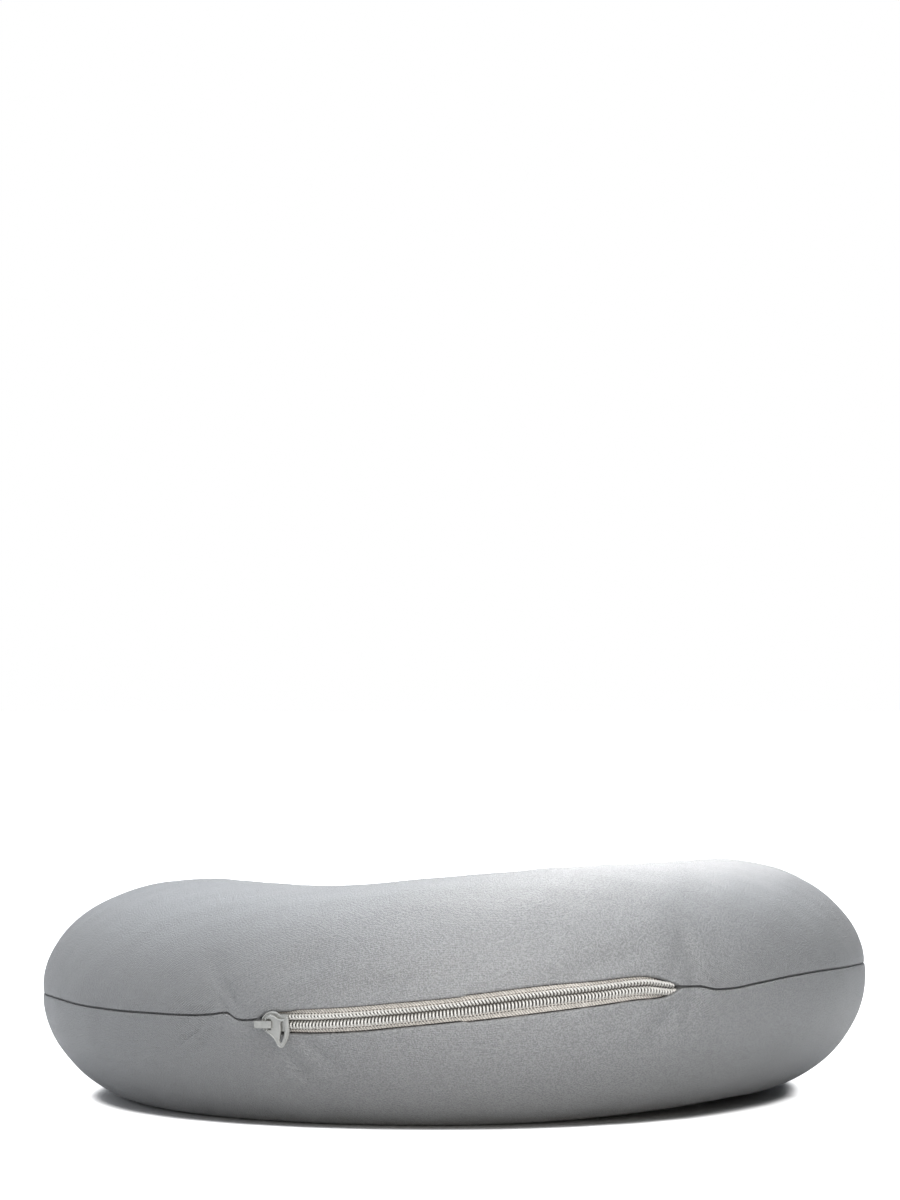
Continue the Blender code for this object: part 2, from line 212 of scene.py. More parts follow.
# Start, end and softness of its bands: along the outer seam, and above the seam's line
BACK_SPAN = (-60 * MM, 105 * MM, 35 * MM)
RIGHT_SPAN = (30 * MM, 130 * MM, 30 * MM)
BESIDE_ZIP = (84 * MM, 104 * MM, 7 * MM)
TWILL_BAND = (-11 * MM, 9 * MM, 4 * MM)
TUCK_BAND = (-1.3 * MM, -0.4 * MM, 0.15 * MM)

# How strongly each layer lightens the yarn, and how deep it stands out
KNIT_SHADE = 0.16
TWILL_SHADE = 0.55
CLOUD_SHADE = 0.25
FIBRE_SHADE = 0.5
# How much lighter the tucks' crests are painted, as highlights
TUCK_HIGHLIGHT = 1.6
GRAIN_EVERYWHERE = 1.4
GRAIN_ON_BACK = 2.2
GRAIN_ON_RIGHT = 1.8
KNIT_DEPTH = 0.05 * MM
TWILL_DEPTH = 0.06 * MM
MOTTLE_DEPTH = 0.35 * MM
FIBRE_DEPTH = 0.05 * MM
TUCK_DEPTH = 0.3 * MM

# Zip, in stations along the back, depths under the skin and distances from the seam's line
ZIP_START = -43.6 * MM
ZIP_END = 51.9 * MM
CHAIN_START = -42 * MM
CHAIN_END = 51.4 * MM
TAPE_TOP = 1.45 * MM
TAPE_THICKNESS = 0.45 * MM
TAPE_TUCK = 0.5 * MM
TAPE_STEP = 0.8 * MM
TAPE_ACROSS_STEPS = 10
COIL_PITCH = 1.2 * MM
COIL_INNER = 0.3 * MM
UPPER_COIL_OUTER = 1.9 * MM
LOWER_COIL_OUTER = 2.6 * MM
CHAIN_SHIFT = 0.45 * MM
SHIFT_AT_END = -0.2 * MM
COIL_TOP = -0.3 * MM
COIL_BOTTOM = 2.0 * MM
HEAD_SINK = 2.0 * MM
HEAD_REACH = 0.65 * MM
COIL_WIRE = 0.34 * MM
COIL_POINTS = 16
UPPER_LEAN = 1.3
LOWER_LEAN = 0.3
SINK_AT_END = 1.9 * MM
SINK_AT_SLIDER = 0.5 * MM
SINKING = (43 * MM, 51.4 * MM)
RISING = (-35 * MM, -31.5 * MM)
CLOSING = (51.4 * MM, 53.2 * MM)
EDGE_SPREAD = 0.85

# Slider and pull, in the slider's own axes: along the chain, up across it, and outwards
SLIDER_STATION = -39.9 * MM
NOSE_CENTRE = -0.35
NOSE_RADIUS = 4.05
RIM_INSET = 0.93
EDGE_STEPS = 3
WIRE_ROUNDNESS = 1
SHARP_ANGLE = math.radians(50)
WELD_REACH = MM / 1000
PULL_OUTLINE = (
    (-2.4, 1.5),
    (-1.6, 2.6),
    (-0.5, 3.1),
    (0.9, 2.7),
    (2.2, 1.8),
    (3.5, 1.6),
    (4.7, 1.9),
    (5.5, 2.4),
    (5.9, 1.8),
    (5.9, -2.3),
    (5.7, -3.8),
    (5.1, -5.2),
    (4.4, -6.6),
    (3.5, -7.8),
    (2.5, -8.25),
    (1.6, -7.8),
    (0.8, -6.5),
    (0.1, -5.1),
    (-1.1, -3.9),
    (-2.3, -2.7),
    (-2.6, -1.4),
)
PULL_SLOT = (
    (3.0, 0.3),
    (3.7, 0.85),
    (4.35, 0.3),
    (4.3, -2.2),
    (3.8, -4.4),
    (2.9, -6.2),
    (2.15, -6.0),
    (2.45, -4.2),
    (2.85, -2.2),
)
PULL_RIM = (
    (5.1, 1.6, 2.1),
    (5.15, 0.3, 2.2),
    (5.15, -2.2, 2.2),
    (4.85, -4.1, 2.2),
    (3.85, -6.3, 2.15),
    (2.75, -7.4, 2.05),
)
PULL_TOP_EDGE = (
    (-1.3, 2.4, 2.3),
    (-0.5, 2.75, 2.35),
    (0.9, 2.4, 2.35),
    (2.2, 1.5, 2.35),
    (3.5, 1.3, 2.35),
    (4.6, 1.55, 2.3),
)
PULL_SIDE_EDGE = (
    (-2.3, -1.6, 2.3),
    (-2.0, -2.6, 2.35),
    (-0.9, -3.65, 2.35),
    (0.35, -4.95, 2.35),
    (1.05, -6.35, 2.35),
    (1.75, -7.55, 2.35),
    (2.5, -7.95, 2.3),
)

# Colours, linear
COVER_DARK = (0.205, 0.207, 0.212)
COVER_LIGHT = (0.30, 0.302, 0.308)
# Painted shade in the seam's crevice, over its thread
SEAM_THREAD_AND_SHADE = (0.008, 0.008, 0.009)
TAPE_DARK = (0.40, 0.36, 0.325)
TAPE_LIGHT = (0.92, 0.87, 0.81)
# Painted shade in the stitch holes
PAINTED_STITCH_SHADE = (0.055, 0.05, 0.046)
# Painted shadow on the tape under the chain
PAINTED_CHAIN_SHADOW = (0.13, 0.12, 0.11)
# Painted shadow along the tape under the cover's sewn edge
PAINTED_EDGE_SHADOW = (0.035, 0.03, 0.028)
COIL_DARK = (0.60, 0.58, 0.55)
COIL_LIGHT = (0.88, 0.865, 0.83)
METAL_DARK = (0.30, 0.30, 0.287)
METAL_LIGHT = (0.47, 0.47, 0.45)

# Zip tapes' weave: the slant of their ribs, and the width and breaks of the painted shadow along the
# cover's sewn edge
TapeLook = namedtuple("TapeLook", "slant edge_width edge_gaps")
UPPER_TAPE = TapeLook(0.8, 0.25 * MM, 0.6)
LOWER_TAPE = TapeLook(-0.8, 0.5 * MM, 1.2)
TAPE_YARN_PITCH = 1.0 * MM
TAPE_YARN_BEND = 0.8 * MM
TAPE_CROSS_PITCH = 0.6 * MM
TAPE_DEPTH = 0.12 * MM
UNDER_CHAIN = 2.25 * MM
STITCH_ROW = 2.8 * MM
STITCH_HALF = 0.2 * MM
COIL_DEPTH = 0.02 * MM
METAL_DEPTH = 0.008 * MM

# Studio
FLOOR_SIZE = 30
FLOOR_COLOUR = (0.8, 0.8, 0.8, 1.0)
FLOOR_LIFT = 1.0
FLOOR_SHADE_REACH = 7 * MM
FLOOR_SHADE_RANGE = (0.4, 0.9)
ROOM_LIGHT = 0.03
BroadLight = namedtuple("BroadLight", "name toward spread strength colour")
BROAD_LIGHTS = (
    BroadLight("behind", (0, 1, 1.2), 70, 2.04, (0.86, 0.92, 1.0)),
    BroadLight("behind_left", (-1, 0.5, 0.4), 70, 0.95, (0.97, 0.98, 1.0)),
    BroadLight("left", (-1, -0.3, 0.6), 70, 0.36, (0.80, 0.88, 1.0)),
    BroadLight("front_right", (0.5, -0.5, 0.85), 70, 0.30, (0.80, 0.91, 1.0)),
    BroadLight("above", (0.05, -0.2, 0.95), 70, 0.60, (1.0, 0.99, 0.96)),
    BroadLight("window", (0.25, -0.6, 0.9), 20, 0.42, (1.0, 1.0, 0.98)),
)
BOX_AIM = (0.03, -0.05, 0.04)
SoftBox = namedtuple("SoftBox", "name place size watts colour")
SOFT_BOXES = (
    SoftBox("box_back", (0.05, 0.15, 0.35), 0.20, 0.38, (1.0, 0.95, 0.86)),
    SoftBox("box_rim", (0.10, 0.25, 0.20), 0.15, 0.19, (1.0, 0.97, 0.96)),
    SoftBox("box_left", (-0.02, -0.22, 0.26), 0.12, 0.10, (0.97, 0.98, 1.0)),
    SoftBox("box_right", (0.07, -0.30, 0.22), 0.12, 0.27, (1.0, 1.0, 1.0)),
    SoftBox("box_top", (0.08, -0.05, 0.28), 0.12, 0.06, (1.0, 1.0, 1.0)),
    SoftBox("box_glint", (-0.03, -0.30, 0.20), 0.02, 0.02, (1.0, 1.0, 1.0)),
    SoftBox("box_low", (0.03, -0.50, 0.10), 0.20, 0.36, (1.0, 0.95, 0.87)),
)


def through(rows, column, stations):
    """A column's values in metres at the stations, on a smooth curve that never overshoots the rows."""
    xs = np.array([row.station for row in rows], float)
    ys = np.array([getattr(row, column) for row in rows], float)
    rises = np.diff(ys) / np.diff(xs)
    slopes = np.zeros(len(xs))
    both = rises[:-1] * rises[1:]
    steady = both > 0
    slopes[1:-1][steady] = 2 * both[steady] / (rises[:-1] + rises[1:])[steady]
    places = np.clip(np.asarray(stations) / MM, xs[0], xs[-1])
    i = np.clip(np.searchsorted(xs, places) - 1, 0, len(rises) - 1)
    span = xs[i + 1] - xs[i]
    t = (places - xs[i]) / span
    value = (
        (2 * t**3 - 3 * t**2 + 1) * ys[i]
        + (t**3 - 2 * t**2 + t) * span * slopes[i]
        + (3 * t**2 - 2 * t**3) * ys[i + 1]
        + (t**3 - t**2) * span * slopes[i + 1]
    )
    return value * MM


def centreline(stations):
    """Plan points in the middle of the tube, and the plan directions that point out of the U there."""
    side = np.where(stations < 0, -1.0, 1.0)
    reach = np.abs(stations)
    on_back = reach <= QUARTER_TURN
    bend = np.where(on_back, reach / BACK_RADIUS, (reach - QUARTER_TURN) / ARM_RADIUS)
    out_x = side * np.where(on_back, np.sin(bend), np.cos(bend))
    out_y = np.where(on_back, -np.cos(bend), np.sin(bend))
    radius = np.where(on_back, BACK_RADIUS, ARM_RADIUS)
    centre_x = np.where(on_back, 0.0, side * (BACK_RADIUS - ARM_RADIUS))
    return centre_x + out_x * radius, BACK_ARC_CENTRE_Y + out_y * radius, out_x, out_y


def fullness(stations):
    """1 along the tube, and down to 0 as it rounds off at an arm's tip."""
    past = np.clip((np.abs(stations) - TIP_START) / TIP_LENGTH, 0, 1)
    return np.sqrt(1 - past**2)


def on_floor(height):
    """The heights after the floor has pressed the underside flat, with a soft edge round the flat."""
    soft = (np.clip(height, -FLOOR_SOFTNESS, FLOOR_SOFTNESS) + FLOOR_SOFTNESS) ** 2 / (4 * FLOOR_SOFTNESS)
    return np.where(height >= FLOOR_SOFTNESS, height, soft)


def half_axes(stations, angles):
    """Half the tube's width, its rise above or fall below the widest line, and that line's height."""
    widest = through(SECTIONS, "widest", stations)
    above = through(SECTIONS, "crown", stations) - widest
    under = widest - through(SECTIONS, "belly", stations)
    rise = np.where(np.sin(angles) > 0, above, under)
    return through(SECTIONS, "half_width", stations), rise, widest


def skin(stations, angles, depth=0.0):
    """Points on the cover, or a depth under it. Angle 0 faces out of the U, a quarter turn is the crown."""
    x, y, out_x, out_y = centreline(stations)
    half_width, rise, widest = half_axes(stations, angles)
    full = fullness(stations)
    across = half_width * full * np.cos(angles)
    height = on_floor(widest + rise * full * np.sin(angles))
    normal_across, normal_up = np.cos(angles) / half_width, np.sin(angles) / rise
    size = np.hypot(normal_across, normal_up)
    across = across - depth * normal_across / size
    height = height - depth * normal_up / size
    return np.stack([x + out_x * across, y + out_y * across, height], axis=-1)


def seam_angle(stations):
    """The angle of the outer seam's line."""
    height = through(OUTER_SEAM, "height", stations)
    widest = through(SECTIONS, "widest", stations)
    _, rise, _ = half_axes(stations, height - widest)
    return np.arcsin((height - widest) / rise)


def angle_step(stations, angles, distance):
    """The angle that spans a distance on the skin, held back where the tips are too small for it."""
    half_width, rise, _ = half_axes(stations, angles)
    speed = np.hypot(half_width * np.sin(angles), rise * np.cos(angles)) * fullness(stations)
    return np.clip(distance / np.maximum(speed, MM / 100), -WIDEST_LIP_ANGLE, WIDEST_LIP_ANGLE)


def beside_seam(stations, distance, depth=0.0):
    """Points on the cover at a distance above the outer seam's line, or below it if negative."""
    stations = np.asarray(stations, float)
    angles = seam_angle(stations)
    return skin(stations, angles + angle_step(stations, angles, distance), depth)


def eased(stations, span):
    """0 before a span of stations and 1 after it, with a smooth rise between."""
    way = np.clip((stations - span[0]) / (span[1] - span[0]), 0, 1)
    return way**2 * (3 - 2 * way)


def tube_stations():
    """Stations of the cover's sections, closest together along the zip."""
    zip_steps = round(2 * ZIP_STRETCH / FINE_STEP)
    side_steps = round((TIP_START - ZIP_STRETCH) / TUBE_STEP)
    back = np.linspace(-ZIP_STRETCH, ZIP_STRETCH, zip_steps + 1)
    side = np.linspace(ZIP_STRETCH, TIP_START, side_steps + 1)[1:]
    tip = TIP_START + TIP_LENGTH * np.sin(LAST_TIP_ANGLE * np.arange(1, TIP_STEPS + 1) / TIP_STEPS)
    right = np.concatenate([side, tip])
    return np.concatenate([-right[::-1], back, right])


def crowded(steps):
    """Fractions from 0 to 1 that crowd together at both ends."""
    t = np.linspace(0, 1, steps + 1)
    return t - PANEL_CROWDING * np.sin(2 * np.pi * t) / (2 * np.pi)


def rolled_edge(gap, roll, depth):
    """Distance and depth pairs that climb a slot's wall and roll over its edge, from the slot's floor."""
    turns = np.radians(np.linspace(0, 90, ROLL_STEPS + 1))
    pairs = [(gap, depth), (gap, (depth + roll) / 2)]
    pairs += [(gap + roll * (1 - math.cos(turn)), roll * (1 - math.sin(turn))) for turn in turns[:-1]]
    return pairs


def tube_rings(stations):
    """Angles and depths of every section's points, and the columns where its parts begin."""
    above = through(OUTER_LIPS, "above", stations)
    below = through(OUTER_LIPS, "below", stations)
    sunk = SINK_AT_END * eased(stations, SINKING) * (1 - eased(stations, CLOSING))
    slot_depth = through(OUTER_LIPS, "depth", stations) + sunk
    plain = np.full_like(stations, PLAIN_LIP)
    plain_depth = np.full_like(stations, PLAIN_DEPTH)
    outer = seam_angle(stations)
    inner = np.full_like(stations, np.pi)

    def roll_of(gap):
        return TIGHT_ROLL + (ZIP_ROLL - TIGHT_ROLL) * np.clip(gap / OPEN_LIP, 0, 1)

    def edge(line, gap, depth, side):
        return [
            (line + side * angle_step(stations, line, distance), deep)
            for distance, deep in rolled_edge(gap, roll_of(gap), depth)
        ]

    def panel(start, end):
        return [(start + (end - start) * t, np.zeros_like(stations)) for t in crowded(PANEL_STEPS)]

    def rim(line, gap, side):
        return line + side * angle_step(stations, line, gap + roll_of(gap))

    upper = edge(outer, above, slot_depth, 1) + panel(rim(outer, above, 1), rim(inner, plain, -1))
    groove = edge(inner, plain, plain_depth, -1)[::-1] + edge(inner, plain, plain_depth, 1)
    full_turn = outer + 2 * np.pi
    lower = panel(rim(inner, plain, 1), rim(full_turn, below, -1))
    lower += edge(full_turn, below, slot_depth, -1)[::-1]
    floor = []
    for k in range(1, SLOT_STEPS):
        distance = above * (k / SLOT_STEPS) - below * (1 - k / SLOT_STEPS)
        floor.append((full_turn + angle_step(stations, full_turn, distance), slot_depth))
    columns = upper + groove + lower + floor
    angles = np.stack([angle for angle, _ in columns], axis=1)
    depths = np.stack([depth for _, depth in columns], axis=1)
    return angles, depths, len(upper) + len(groove) // 2


def fold_depth(along, up):
    """How far the soft troughs draw the cover in, at places on the outer skin."""
    depth = np.zeros_like(up)
    for fold in FOLDS:
        lean = math.radians(fold.lean)
        dx = along - fold.along * MM
        dy = up - fold.up * MM
        lengthwise = dx * math.cos(lean) + dy * math.sin(lean)
        sideways = dy * math.cos(lean) - dx * math.sin(lean)
        spread = (lengthwise / (fold.length * MM)) ** 2 + (sideways / (fold.width * MM)) ** 2
        depth += fold.depth * MM * np.exp(-spread)
    return depth


def uneven_depth(points):
    """The filling's slow unevenness, from a few crossing waves of unlike lengths."""
    turn = 2 * np.pi / UNEVEN_PITCH
    x, y, z = points[..., 0] * turn, points[..., 1] * turn, points[..., 2] * turn
    waves = np.sin(x + 0.7 * np.sin(1.3 * y)) * np.cos(1.1 * y + 0.4)
    waves += 0.6 * np.sin(1.9 * x - 1.4 * z + 1.0)
    waves += 0.4 * np.sin(2.7 * y + 2.1 * z + 0.5 * np.sin(x))
    return UNEVENNESS * waves / 2


def link(obj):
    bpy.context.scene.collection.objects.link(obj)
    return obj


def grid_mesh(name, points):
    """A quad mesh over an array of points, rows by columns, with the last column joined to the first."""
    rows, columns = points.shape[:2]
    index = np.arange(rows * columns).reshape(rows, columns)
    index = np.concatenate([index, index[:, :1]], axis=1)
    corners = (index[:-1, :-1], index[:-1, 1:], index[1:, 1:], index[1:, :-1])
    quads = np.stack(corners, axis=-1).reshape(-1, 4)
    mesh = bpy.data.meshes.new(name)
    mesh.from_pydata(points.reshape(-1, 3).tolist(), [], quads.tolist())
    return mesh


def add_uv(mesh, name, values):
    layer = mesh.uv_layers.new(name=name)
    layer.data.foreach_set("uv", values.astype(np.float32).ravel())


def corner_values(table):
    """A table of values at grid points, repeated for the four corners of each quad of grid_mesh."""
    corners = (table[:-1, :-1], table[:-1, 1:], table[1:, 1:], table[1:, :-1])
    return np.stack(corners, axis=2).reshape(-1, 2)


def close_tips(mesh, columns):
    """Fans over the first and last rows, with the rows' UV places carried on, and all faces outward."""
    work = bmesh.new()
    work.from_mesh(mesh)
    layers = work.loops.layers.uv.values()
    verts = list(work.verts)
    for ring in (verts[:columns], verts[-columns:]):
        flat = {v: [v.link_loops[0][layer].uv.copy() for layer in layers] for v in ring}
        tip = work.verts.new(sum((v.co for v in ring), Vector()) / columns)
        flat[tip] = [sum((flat[v][k] for v in ring), Vector((0, 0))) / columns for k in range(len(layers))]
        for k in range(columns):
            face = work.faces.new((ring[k], ring[(k + 1) % columns], tip))
            for loop in face.loops:
                for layer, place in zip(layers, flat[loop.vert]):
                    loop[layer].uv = place
    bmesh.ops.recalc_face_normals(work, faces=work.faces)
    work.to_mesh(mesh)
    work.free()


def pillow_cover():
    """The filled cover: tight panels, the sewn seam all round, and the zip's slot with rolled edges."""
    stations = tube_stations()
    angles, depths, inner_column = tube_rings(stations)
    place = stations[:, None] + np.zeros_like(angles)
    bare = skin(place, angles)
    steps = np.linalg.norm(np.roll(bare, -1, axis=1) - bare, axis=2)
    reach = np.concatenate([np.zeros((len(stations), 1)), np.cumsum(steps, axis=1)], axis=1)
    rim = ROLL_STEPS + 2
    outer_gap = through(OUTER_LIPS, "above", stations)[:, None]
    up = reach[:, :-1] - reach[:, rim : rim + 1] + outer_gap
    girth = reach[:, -1:]
    up = np.where(up > girth / 2, up - girth, up)
    along = place / BACK_RADIUS * OUTER_RADIUS
    from_inner = np.abs(np.abs(up) - girth / 2)
    near_edge = np.exp(-np.abs(up) / PULL_IN_REACH) + np.exp(-from_inner / PULL_IN_REACH)
    full = fullness(place)
    soft = np.minimum(1.0, 2 * full)
    uneven = uneven_depth(bare) * np.where(bare[..., 2] > MM, 1, 0)
    extra = PULL_IN * near_edge + fold_depth(along, up) + uneven
    points = skin(place, angles, (depths + extra) * soft)
    points[..., 2] = np.maximum(points[..., 2], 0.0)
    mesh = grid_mesh("pillow_cover", points)

    # Where each point lies in the flat pattern: measured outwards from the middle of its own panel
    x, y, out_x, out_y = centreline(stations)
    panels = slice(ROLL_STEPS + 3, -(ROLL_STEPS + 5))
    walks = [(row[panels], walk[:-1][panels]) for row, walk in zip(angles, reach)]
    crown, under = (
        np.array([np.interp(turn, row, walk) for row, walk in walks])[:, None]
        for turn in (np.pi / 2, 3 * np.pi / 2)
    )
    columns = np.arange(reach.shape[1])
    outward = np.where(columns[None, :] < inner_column, crown - reach, reach - under)
    pattern = (x[:, None] + out_x[:, None] * outward, y[:, None] + out_y[:, None] * outward)
    seam = (np.concatenate([along, along[:, :1]], axis=1), np.concatenate([up, up[:, -1:]], axis=1))
    add_uv(mesh, "pattern", corner_values(np.stack(pattern, axis=-1)))
    add_uv(mesh, "seam", corner_values(np.stack(seam, axis=-1)))
    close_tips(mesh, angles.shape[1])
    mesh.shade_smooth()
    return link(bpy.data.objects.new("pillow_cover", mesh))


def sink(stations):
    """How much deeper the zip lies: under the slider, and at its right end, where the cover closes."""
    return SINK_AT_END * eased(stations, SINKING) + SINK_AT_SLIDER * (1 - eased(stations, RISING))


def zip_tape(name, side):
    """One woven tape, tucked a little way under the cover's edge."""
    stations = np.linspace(ZIP_START, ZIP_END, round((ZIP_END - ZIP_START) / TAPE_STEP) + 1)
    gap = through(OUTER_LIPS, "above" if side > 0 else "below", stations)[:, None]
    across = np.linspace(0, 1, TAPE_ACROSS_STEPS + 1)[None, :] * (gap + TAPE_TUCK)
    place = stations[:, None] + np.zeros_like(across)
    top = beside_seam(place, side * across, TAPE_TOP + sink(place))
    bottom = beside_seam(place, side * across, TAPE_TOP + TAPE_THICKNESS + sink(place))
    points = np.concatenate([top, bottom[:, ::-1]], axis=1)
    mesh = grid_mesh(name, points)
    along = place / BACK_RADIUS * OUTER_RADIUS
    # The painted shadow under the upper cover's edge widens towards the zip's right end, where the cover
    # closes
    in_shade = 1 - EDGE_SPREAD * eased(place, SINKING) if side > 0 else 1.0
    for layer, height in (("weave", across), ("edge", (gap - across) * in_shade)):
        flat = np.stack([along, height + np.zeros_like(place)], axis=-1)
        add_uv(mesh, layer, corner_values(np.concatenate([flat, flat[:, ::-1], flat[:, :1]], axis=1)))
    work = bmesh.new()
    work.from_mesh(mesh)
    bmesh.ops.holes_fill(work, edges=[edge for edge in work.edges if edge.is_boundary])
    bmesh.ops.recalc_face_normals(work, faces=work.faces)
    work.to_mesh(mesh)
    work.free()
    mesh.shade_smooth()
    return link(bpy.data.objects.new(name, mesh))


def zip_coil(name, side, outer, lean, phase):
    """Half of the closed chain: a monofilament wound into a coil, its heads sunk towards the other's."""
    length = (CHAIN_END - CHAIN_START) * OUTER_RADIUS / BACK_RADIUS
    turns = round(length / COIL_PITCH)
    turn = np.arange(turns * COIL_POINTS + 1) / COIL_POINTS
    around = 2 * np.pi * turn
    swing = lean * COIL_PITCH / 2 * np.cos(around)
    along = np.clip((turn + phase) * COIL_PITCH + swing, 0, length)
    stations = CHAIN_START + along * BACK_RADIUS / OUTER_RADIUS
    shift = CHAIN_SHIFT + (SHIFT_AT_END - CHAIN_SHIFT) * eased(stations, SINKING)
    gap = through(OUTER_LIPS, "above" if side > 0 else "below", stations)
    outer = np.clip(gap - side * shift - COIL_WIRE, COIL_INNER + COIL_WIRE, outer)
    across = (COIL_INNER + outer) / 2 - (outer - COIL_INNER) / 2 * np.cos(around)
    depth = (COIL_TOP + COIL_BOTTOM) / 2 - (COIL_BOTTOM - COIL_TOP) / 2 * np.sin(around)
    depth += HEAD_SINK * np.exp(-((across / HEAD_REACH) ** 2))
    path = beside_seam(stations, side * across + shift, depth + sink(stations))
    return wire(name, path, COIL_WIRE)


def weld(mesh):
    """Merges a drawn curve's caps with its sides, and turns all faces outward."""
    work = bmesh.new()
    work.from_mesh(mesh)
    bmesh.ops.remove_doubles(work, verts=work.verts, dist=WELD_REACH)
    bmesh.ops.recalc_face_normals(work, faces=work.faces)
    work.to_mesh(mesh)
    work.free()


def wire(name, path, radius, as_mesh=False):
    """A round wire along a path of points, as an object or, for joining, as a bare mesh."""
    curve = bpy.data.curves.new(name, "CURVE")
    curve.dimensions = "3D"
    curve.bevel_depth = radius
    curve.bevel_resolution = WIRE_ROUNDNESS
    curve.use_fill_caps = True
    spline = curve.splines.new("POLY")
    spline.points.add(len(path) - 1)
    spline.points.foreach_set("co", np.concatenate([path, np.ones((len(path), 1))], axis=1).ravel())
    drawn = link(bpy.data.objects.new(name + "_path", curve))
    made = bpy.data.meshes.new_from_object(drawn.evaluated_get(bpy.context.evaluated_depsgraph_get()))
    bpy.data.objects.remove(drawn)
    made.name = name
    weld(made)
    made.shade_smooth()
    return made if as_mesh else link(bpy.data.objects.new(name, made))


def slider_frame():
    """The slider's own axes on the skin: X along the chain, Y up across it, Z outwards."""
    here, before, after = (Vector(beside_seam(SLIDER_STATION + d, 0.0)) for d in (0, -MM, MM))
    inside = Vector(beside_seam(SLIDER_STATION, 0.0, MM))
    along = (after - before).normalized()
    up = (here - inside).cross(along).normalized()
    out = along.cross(up)
    axes = Matrix((along, up, out)).transposed().to_4x4()
    axes.translation = here
    return axes


def smooth_outline(points, steps=5):
    """A closed outline in metres, rounded through the given points in millimetres."""
    count = len(points)
    rounded = []
    for i in range(count):
        before, start, end, after = (Vector(points[(i + k) % count]) for k in (-1, 0, 1, 2))
        for k in range(steps):
            t = k / steps
            rounded.append(
                (
                    start * 2
                    + (end - before) * t
                    + (before * 2 - start * 5 + end * 4 - after) * t**2
                    + (start * 3 - before - end * 3 + after) * t**3
                )
                * (MM / 2)
            )
    return [(point.x, point.y) for point in rounded]


def plate(name, outline, low, high, edge, holes=()):
    """A plate with rounded edges between two heights of the slider's axes, as a mesh."""
    curve = bpy.data.curves.new(name, "CURVE")
    curve.dimensions = "2D"
    curve.fill_mode = "BOTH"
    curve.extrude = (high - low) / 2 - edge
    curve.bevel_depth = edge
    curve.bevel_resolution = EDGE_STEPS
    curve.offset = -edge
    for points in (outline, *holes):
        spline = curve.splines.new("POLY")
        spline.points.add(len(points) - 1)
        for point, (x, y) in zip(spline.points, points):
            point.co = (x, y, 0, 1)
        spline.use_cyclic_u = True
    drawn = link(bpy.data.objects.new(name, curve))
    made = bpy.data.meshes.new_from_object(drawn.evaluated_get(bpy.context.evaluated_depsgraph_get()))
    bpy.data.objects.remove(drawn)
    made.transform(Matrix.Translation((0, 0, (low + high) / 2)))
    return made


def joined(name, meshes, axes):
    """One object made of several meshes, with touching points merged and faces outward."""
    work = bmesh.new()
    for mesh in meshes:
        work.from_mesh(mesh)
        bpy.data.meshes.remove(mesh)
    bmesh.ops.remove_doubles(work, verts=work.verts, dist=WELD_REACH)
    bmesh.ops.recalc_face_normals(work, faces=work.faces)
    bmesh.ops.transform(work, matrix=axes, verts=work.verts)
    mesh = bpy.data.meshes.new(name)
    work.to_mesh(mesh)
    work.free()
    mesh.shade_smooth()
    mesh.set_sharp_from_angle(angle=SHARP_ANGLE)
    return link(bpy.data.objects.new(name, mesh))


def bead(path, radius):
    """A round bead along points in millimetres of the slider's axes, as a mesh."""
    return wire("bead", np.array(path, float) * MM, radius, as_mesh=True)


def block(low, high, edge):
    """A box between two corners in millimetres, with its edges rounded, as a mesh."""
    (x0, y0, z0), (x1, y1, z1) = low, high
    corners = [(x0 * MM, y0 * MM), (x1 * MM, y0 * MM), (x1 * MM, y1 * MM), (x0 * MM, y1 * MM)]
    return plate("block", corners, z0 * MM, z1 * MM, edge)


def slider_body(axes):
    """The slider: a plate with a rounded, rimmed nose, its flanges, and the bridge for the pull."""
    nose = [
        (NOSE_CENTRE + NOSE_RADIUS * math.cos(math.radians(a)), NOSE_RADIUS * math.sin(math.radians(a)))
        for a in range(60, 301, 15)
    ]
    side = [(2.6, -2.8), (4.0, -2.7), (5.2, -2.8), (5.3, -2.3)]
    outline = nose + side + [(x, -y) for x, y in reversed(side)]
    meshes = [plate("plate", smooth_outline(outline, 3), 0.3 * MM, 1.2 * MM, 0.25 * MM)]
    rim = [(x + 0.1, y * RIM_INSET, 1.2) for x, y in nose]
    meshes.append(bead(rim, 0.34 * MM))
    for sign in (-1, 1):
        low, high = sorted((sign * 2.45, sign * 2.95))
        meshes.append(block((-1.5, low, -1.5), (5.1, high, 0.6), 0.12 * MM))
    meshes.append(block((-6.4, -1.38, 2.75), (-0.1, 1.16, 3.35), 0.16 * MM))
    meshes.append(block((-4.6, -1.1, 0.9), (-3.7, 0.9, 3.0), 0.1 * MM))
    meshes.append(block((-1.65, -1.1, 0.9), (-0.85, 0.9, 3.0), 0.1 * MM))
    return joined("zip_slider_body", meshes, axes)


def pull_tab(axes):
    """The stamped pull: a rounded triangle with an eye round the bridge, a long slot and thick rims."""
    eye = [(-2.25, -2.0), (-0.55, -2.0), (-0.55, 1.75), (-2.25, 1.75)]
    low, high = 1.45 * MM, 2.45 * MM
    holes = ([(x * MM, y * MM) for x, y in eye], smooth_outline(PULL_SLOT, 3))
    meshes = [plate("tab", smooth_outline(PULL_OUTLINE), low, high, 0.22 * MM, holes)]
    meshes.append(bead(PULL_RIM, 0.62 * MM))
    meshes.append(bead(PULL_TOP_EDGE, 0.27 * MM))
    meshes.append(bead(PULL_SIDE_EDGE, 0.25 * MM))
    return joined("zip_pull_tab", meshes, axes)


